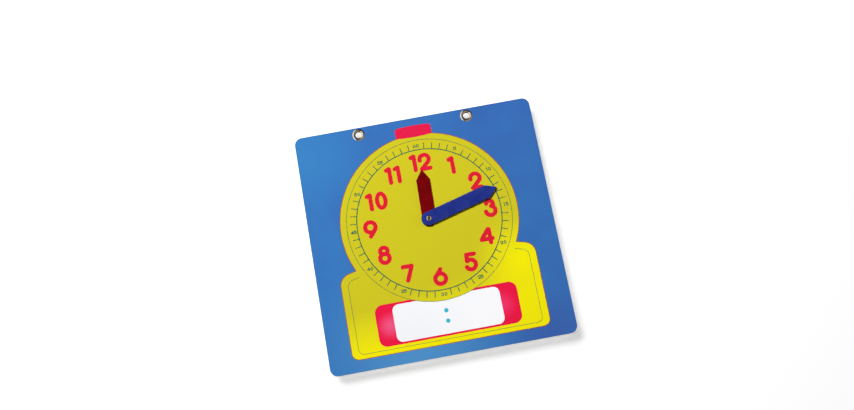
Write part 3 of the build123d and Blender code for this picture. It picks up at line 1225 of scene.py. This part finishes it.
@dataclass
class HandBlade:
    """One flat pointed hand with moulded edges, on the rivet. It stands for its body's own CAD node."""

    body: Body
    slot: Slot
    finish: Finish
    dial: Dial
    angle: float
    reach: float
    point_length: float
    half_width: float = 8.7 * MM
    heel: float = 1.3 * MM
    shoulder_radius: float = 3.0 * MM
    tip_radius: float = 0.8 * MM
    hole_radius: float = 1.8 * MM
    front_round: float = 0.72 * MM
    back_round: float = 0.15 * MM
    flat_margin: float = 0.05 * MM

    @staticmethod
    def rounded(corner: Pair, radius: float, start: float, end: float) -> tuple[Grid, Grid]:
        """Rounds one corner of the outline.

        Formula: the arc's centre lies back from the corner by the sum of the two sides' outward directions,
        times the radius over one plus their dot product. Each point is the centre plus the radius times its
        direction.

        Args:
            corner: The sharp corner.
            radius: The arc's radius.
            start: The first side's outward direction in degrees.
            end: The next side's outward direction in degrees.

        Returns:
            The arc's points and their outward directions.
        """
        outward = arc((0.0, 0.0), (1.0, 1.0), start, end, steps=12)
        back = (outward[0] + outward[-1]) * radius / (1 + outward[0] @ outward[-1])
        return np.array(corner) - back + radius * outward, outward

    def outline(self) -> tuple[Grid, Grid]:
        """Works out the outline, anticlockwise from the heel's left end, with the tip at the top.

        Formula: a half circle at the heel, then rounded corners at the right shoulder, the tip and the left
        shoulder, joined by straight sides.

        Returns:
            The outline's points and their outward directions.
        """
        slope = math.degrees(math.atan2(self.half_width, self.point_length))
        side = self.reach - self.point_length
        heel = arc((0.0, 0.0), (1.0, 1.0), 180, 360)
        parts = [
            (np.array([0.0, -self.heel]) + self.half_width * heel, heel),
            self.rounded((self.half_width, side), self.shoulder_radius, 0.0, slope),
            self.rounded((0.0, self.reach), self.tip_radius, slope, 180.0 - slope),
            self.rounded((-self.half_width, side), self.shoulder_radius, 180.0 - slope, 180.0),
        ]
        return np.vstack([places for places, _ in parts]), np.vstack([outward for _, outward in parts])

    def build(self) -> None:
        """Makes the blade.

        Formula: each row is the outline moved inwards, from the back face round the edge to the front face.
        The moulded edges are quarter circles of (distance inwards, depth). The first and last rows are the
        hole's circle, each point in line with its point of the outline, and the whole is turned clockwise by
        the angle.
        """
        low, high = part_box(self.body.value)
        front, back = low.y, high.y
        places, outward = self.outline()
        back_edge = (self.back_round, self.back_round)
        front_edge = (self.front_round, self.front_round)
        edge = np.vstack([
            [(self.back_round + self.flat_margin, back)],
            arc((self.back_round, back - self.back_round), back_edge, 90, 180, steps=4),
            arc((self.front_round, front + self.front_round), front_edge, 180, 270, steps=8),
            [(self.front_round + self.flat_margin, front)],
        ])
        hole = self.hole_radius * places / np.linalg.norm(places, axis=1, keepdims=True)
        flat = np.concatenate([hole[None], places - edge[:, :1, None] * outward, hole[None]])
        depth = np.concatenate([[back], edge[:, 1], [front]])
        cosine, sine = math.cos(math.radians(self.angle)), math.sin(math.radians(self.angle))
        across, up = flat[..., 0], flat[..., 1]
        points = np.stack([
            self.dial.center[0] + across * cosine + up * sine,
            np.broadcast_to(depth[:, None], across.shape),
            self.dial.center[1] - across * sine + up * cosine,
        ], -1).reshape(-1, 3)
        faces = wrapped_faces(*across.shape)
        piece = make_piece(f"{self.body.value}_blade", points, faces, self.finish, sharp_angle=35.0)
        seat(piece, self.body, self.slot, self.body.value)


@dataclass
class HandStack:
    """The two hands on their hollow rivet, with the washers between them."""

    dial: Dial

    def build(self) -> None:
        """Makes the rivet and both hands, and dresses the washers."""
        tube = RolledTube(
            bore=1.4 * MM, head_radius=3.4 * MM, head_height=0.75 * MM, head_seat=-6.10 * MM,
            tail_radius=2.9 * MM, tail_height=0.6 * MM, petals=6, crimp=0.45 * MM, columns=120,
        )
        seat(tube.build("hand_rivet_rolled", self.dial.center, BRASS), Body.BOARD, Slot.BRASS, "hand_rivet")
        dress("rivet_washer", WASHER_METAL)
        dress("board_washer", CLEAR_NYLON)
        dress("hand_spacer", CLEAR_NYLON)
        HandBlade(
            Body.HOUR_HAND, Slot.RED_PLASTIC, RED_PLASTIC, self.dial,
            angle=1.4, reach=64.2 * MM, point_length=13.2 * MM,
        ).build()
        HandBlade(
            Body.MINUTE_HAND, Slot.BLUE_PLASTIC, BLUE_PLASTIC, self.dial,
            angle=75.1, reach=94.1 * MM, point_length=13.8 * MM,
        ).build()


@dataclass(frozen=True)
class Softbox:
    """A soft square light that faces the board: its place, its width in metres and its power in watts."""

    name: str
    place: Place
    width: float
    power: float
    falls: Falls = Falls.OFF_WALL


@dataclass(frozen=True)
class Glow:
    """A bright part of the room that only reflections show.

    Its share goes from one number to the other as the dot product with its direction goes from one edge to
    the other, and past one it stays at one.
    """

    direction: Place
    edges: Pair
    shares: Pair
    color: Color


@dataclass
class Studio:
    """The pale wall and floor, the lights and the camera that show the clock."""

    aim: Place = (-0.00036, -0.0027, -0.10647)
    wall_half_width: float = 3.0
    wall_top: float = 2.4
    floor_half_width: float = 30.0
    floor_height: float = -0.95
    room_color: Color = (0.065, 0.065, 0.065)
    sky: Glow = Glow((-0.96, 0.1, 0.25), (0.38, 0.6), (0.04, 2.0), WHITE)
    ground: Glow = Glow((0.6, -0.3, -0.74), (0.2, 0.75), (0.0, 1.0), (0.27, 0.21, 0.11))
    camera_place: Place = (-0.01979, -1.14215, -0.36217)
    camera_roll: float = 10.561
    focal_pixels: float = 930.84

    LIGHTS: ClassVar[tuple[Softbox, ...]] = (
        Softbox("wall_light", (-0.77, -1.77, 0.95), 1.2, 54.0, Falls.ON_WALL),
        Softbox("key_light", (-0.77, -1.77, 0.95), 0.3, 60.0),
        Softbox("fill_light", (1.5, -1.9, 0.3), 1.6, 1.0),
        Softbox("side_light", (2.2, -0.2, 0.0), 1.0, 22.0),
        Softbox("back_light", (-0.7, 1.8, 0.9), 1.6, 46.0),
    )

    def build(self) -> None:
        """Makes the whole studio."""
        wall = self.build_wall()
        self.build_floor()
        self.build_world()
        for softbox in self.LIGHTS:
            self.build_light(softbox, wall)
        self.build_camera()
        view = bpy.context.scene.view_settings
        view.view_transform = "Standard"
        view.look = "None"

    def sheet(self, name: str, corners: list[Place], paint: StudioPaint) -> Piece:
        """Makes a four-cornered studio surface that isn't part of the object.

        Args:
            name: The surface's name.
            corners: Its corners in order.
            paint: Its paint.

        Returns:
            The new surface.
        """
        piece = add_mesh(name, np.array(corners), [[0, 1, 2, 3]], paint)
        return piece

    def build_wall(self) -> Piece:
        """Makes the wall behind the board, which takes part in no shadow and no reflection.

        Returns:
            The wall.
        """
        w, y, low, top = self.wall_half_width, WALL_PAINT.wall_y, self.floor_height, self.wall_top
        wall = self.sheet("studio_wall", [(-w, y, low), (w, y, low), (w, y, top), (-w, y, top)], WALL_PAINT)
        wall.visible_diffuse = wall.visible_glossy = wall.visible_transmission = wall.visible_shadow = False
        return wall

    def build_floor(self) -> None:
        """Makes the floor, well below the board."""
        w, z = self.floor_half_width, self.floor_height
        floor = self.sheet("studio_floor", [(-w, -w, z), (w, -w, z), (w, w, z), (-w, w, z)], FLOOR_PAINT)
        floor.visible_diffuse = floor.visible_glossy = False

    def build_world(self) -> None:
        """Makes the pale room.

        It is white where the camera sees it, dim where it lights, and has a bright sky and a warm ground
        where it reflects.
        """
        world = bpy.data.worlds.new("studio_room")
        world.use_nodes = True
        world.node_tree.nodes.clear()
        graph = Graph(world.node_tree)
        path = graph.add("ShaderNodeLightPath")
        direction = graph.add("ShaderNodeTexCoord").outputs["Generated"]
        glows = []
        for glow in (self.sky, self.ground):
            along = graph.vector("DOT_PRODUCT", direction, glow.direction, output="Value")
            glows.append(graph.mix(graph.remap(along, *glow.edges, *glow.shares), BLACK, glow.color))
        shine = graph.mix(1.0, *glows, "ADD")
        room = graph.mix(path.outputs["Is Glossy Ray"], self.room_color, shine)
        seen = graph.mix(path.outputs["Is Camera Ray"], room, WHITE)
        light = graph.add("ShaderNodeBackground", {"Color": seen, "Strength": 1.0})
        graph.add("ShaderNodeOutputWorld", {"Surface": light.outputs["Background"]})
        bpy.context.scene.world = world

    def build_light(self, softbox: Softbox, wall: Piece) -> None:
        """Makes one light, and keeps it on the wall or off it.

        Args:
            softbox: The light's name, place, size and power, and what it falls on.
            wall: The studio's wall.
        """
        lamp = bpy.data.lights.new(softbox.name, "AREA")
        lamp.shape = "SQUARE"
        lamp.size = softbox.width
        lamp.energy = softbox.power
        light = bpy.data.objects.new(softbox.name, lamp)
        bpy.context.scene.collection.objects.link(light)
        light.location = softbox.place
        facing = Vector(self.aim) - Vector(softbox.place)
        light.rotation_euler = facing.to_track_quat("-Z", "Y").to_euler()
        light.visible_glossy = False
        linked = bpy.data.collections.new(f"{softbox.name}_falls_on")
        linked.objects.link(wall)
        linked.collection_objects[0].light_linking.link_state = softbox.falls.value
        light.light_linking.receiver_collection = linked

    def build_camera(self) -> None:
        """Makes the camera at the photograph's own viewing angle, with its roll about the line of sight."""
        lens = bpy.data.cameras.new("photo_camera")
        lens.sensor_width = SENSOR_WIDTH
        lens.lens = self.focal_pixels / PHOTO_WIDTH * SENSOR_WIDTH
        camera = bpy.data.objects.new("photo_camera", lens)
        bpy.context.scene.collection.objects.link(camera)
        place = Vector(self.camera_place)
        level = (Vector(self.aim) - place).to_track_quat("-Z", "Y").to_matrix()
        roll = Matrix.Rotation(math.radians(-self.camera_roll), 3, "Z")
        camera.matrix_world = Matrix.Translation(place) @ (level @ roll).to_4x4()
        bpy.context.scene.camera = camera


def main() -> None:
    """Builds and dresses each sub-assembly in order, then the studio."""
    logging.basicConfig(level=logging.INFO, format="%(name)s: %(message)s")
    dial = Dial()
    BoardPanel().dress()
    PrintedFace().dress()
    HourNumerals(dial).build()
    MinuteNumerals(dial).build()
    for side in Side:
        Eyelet(side).build()
    HandStack(dial).build()
    Studio().build()


if __name__ == "__main__":
    main()
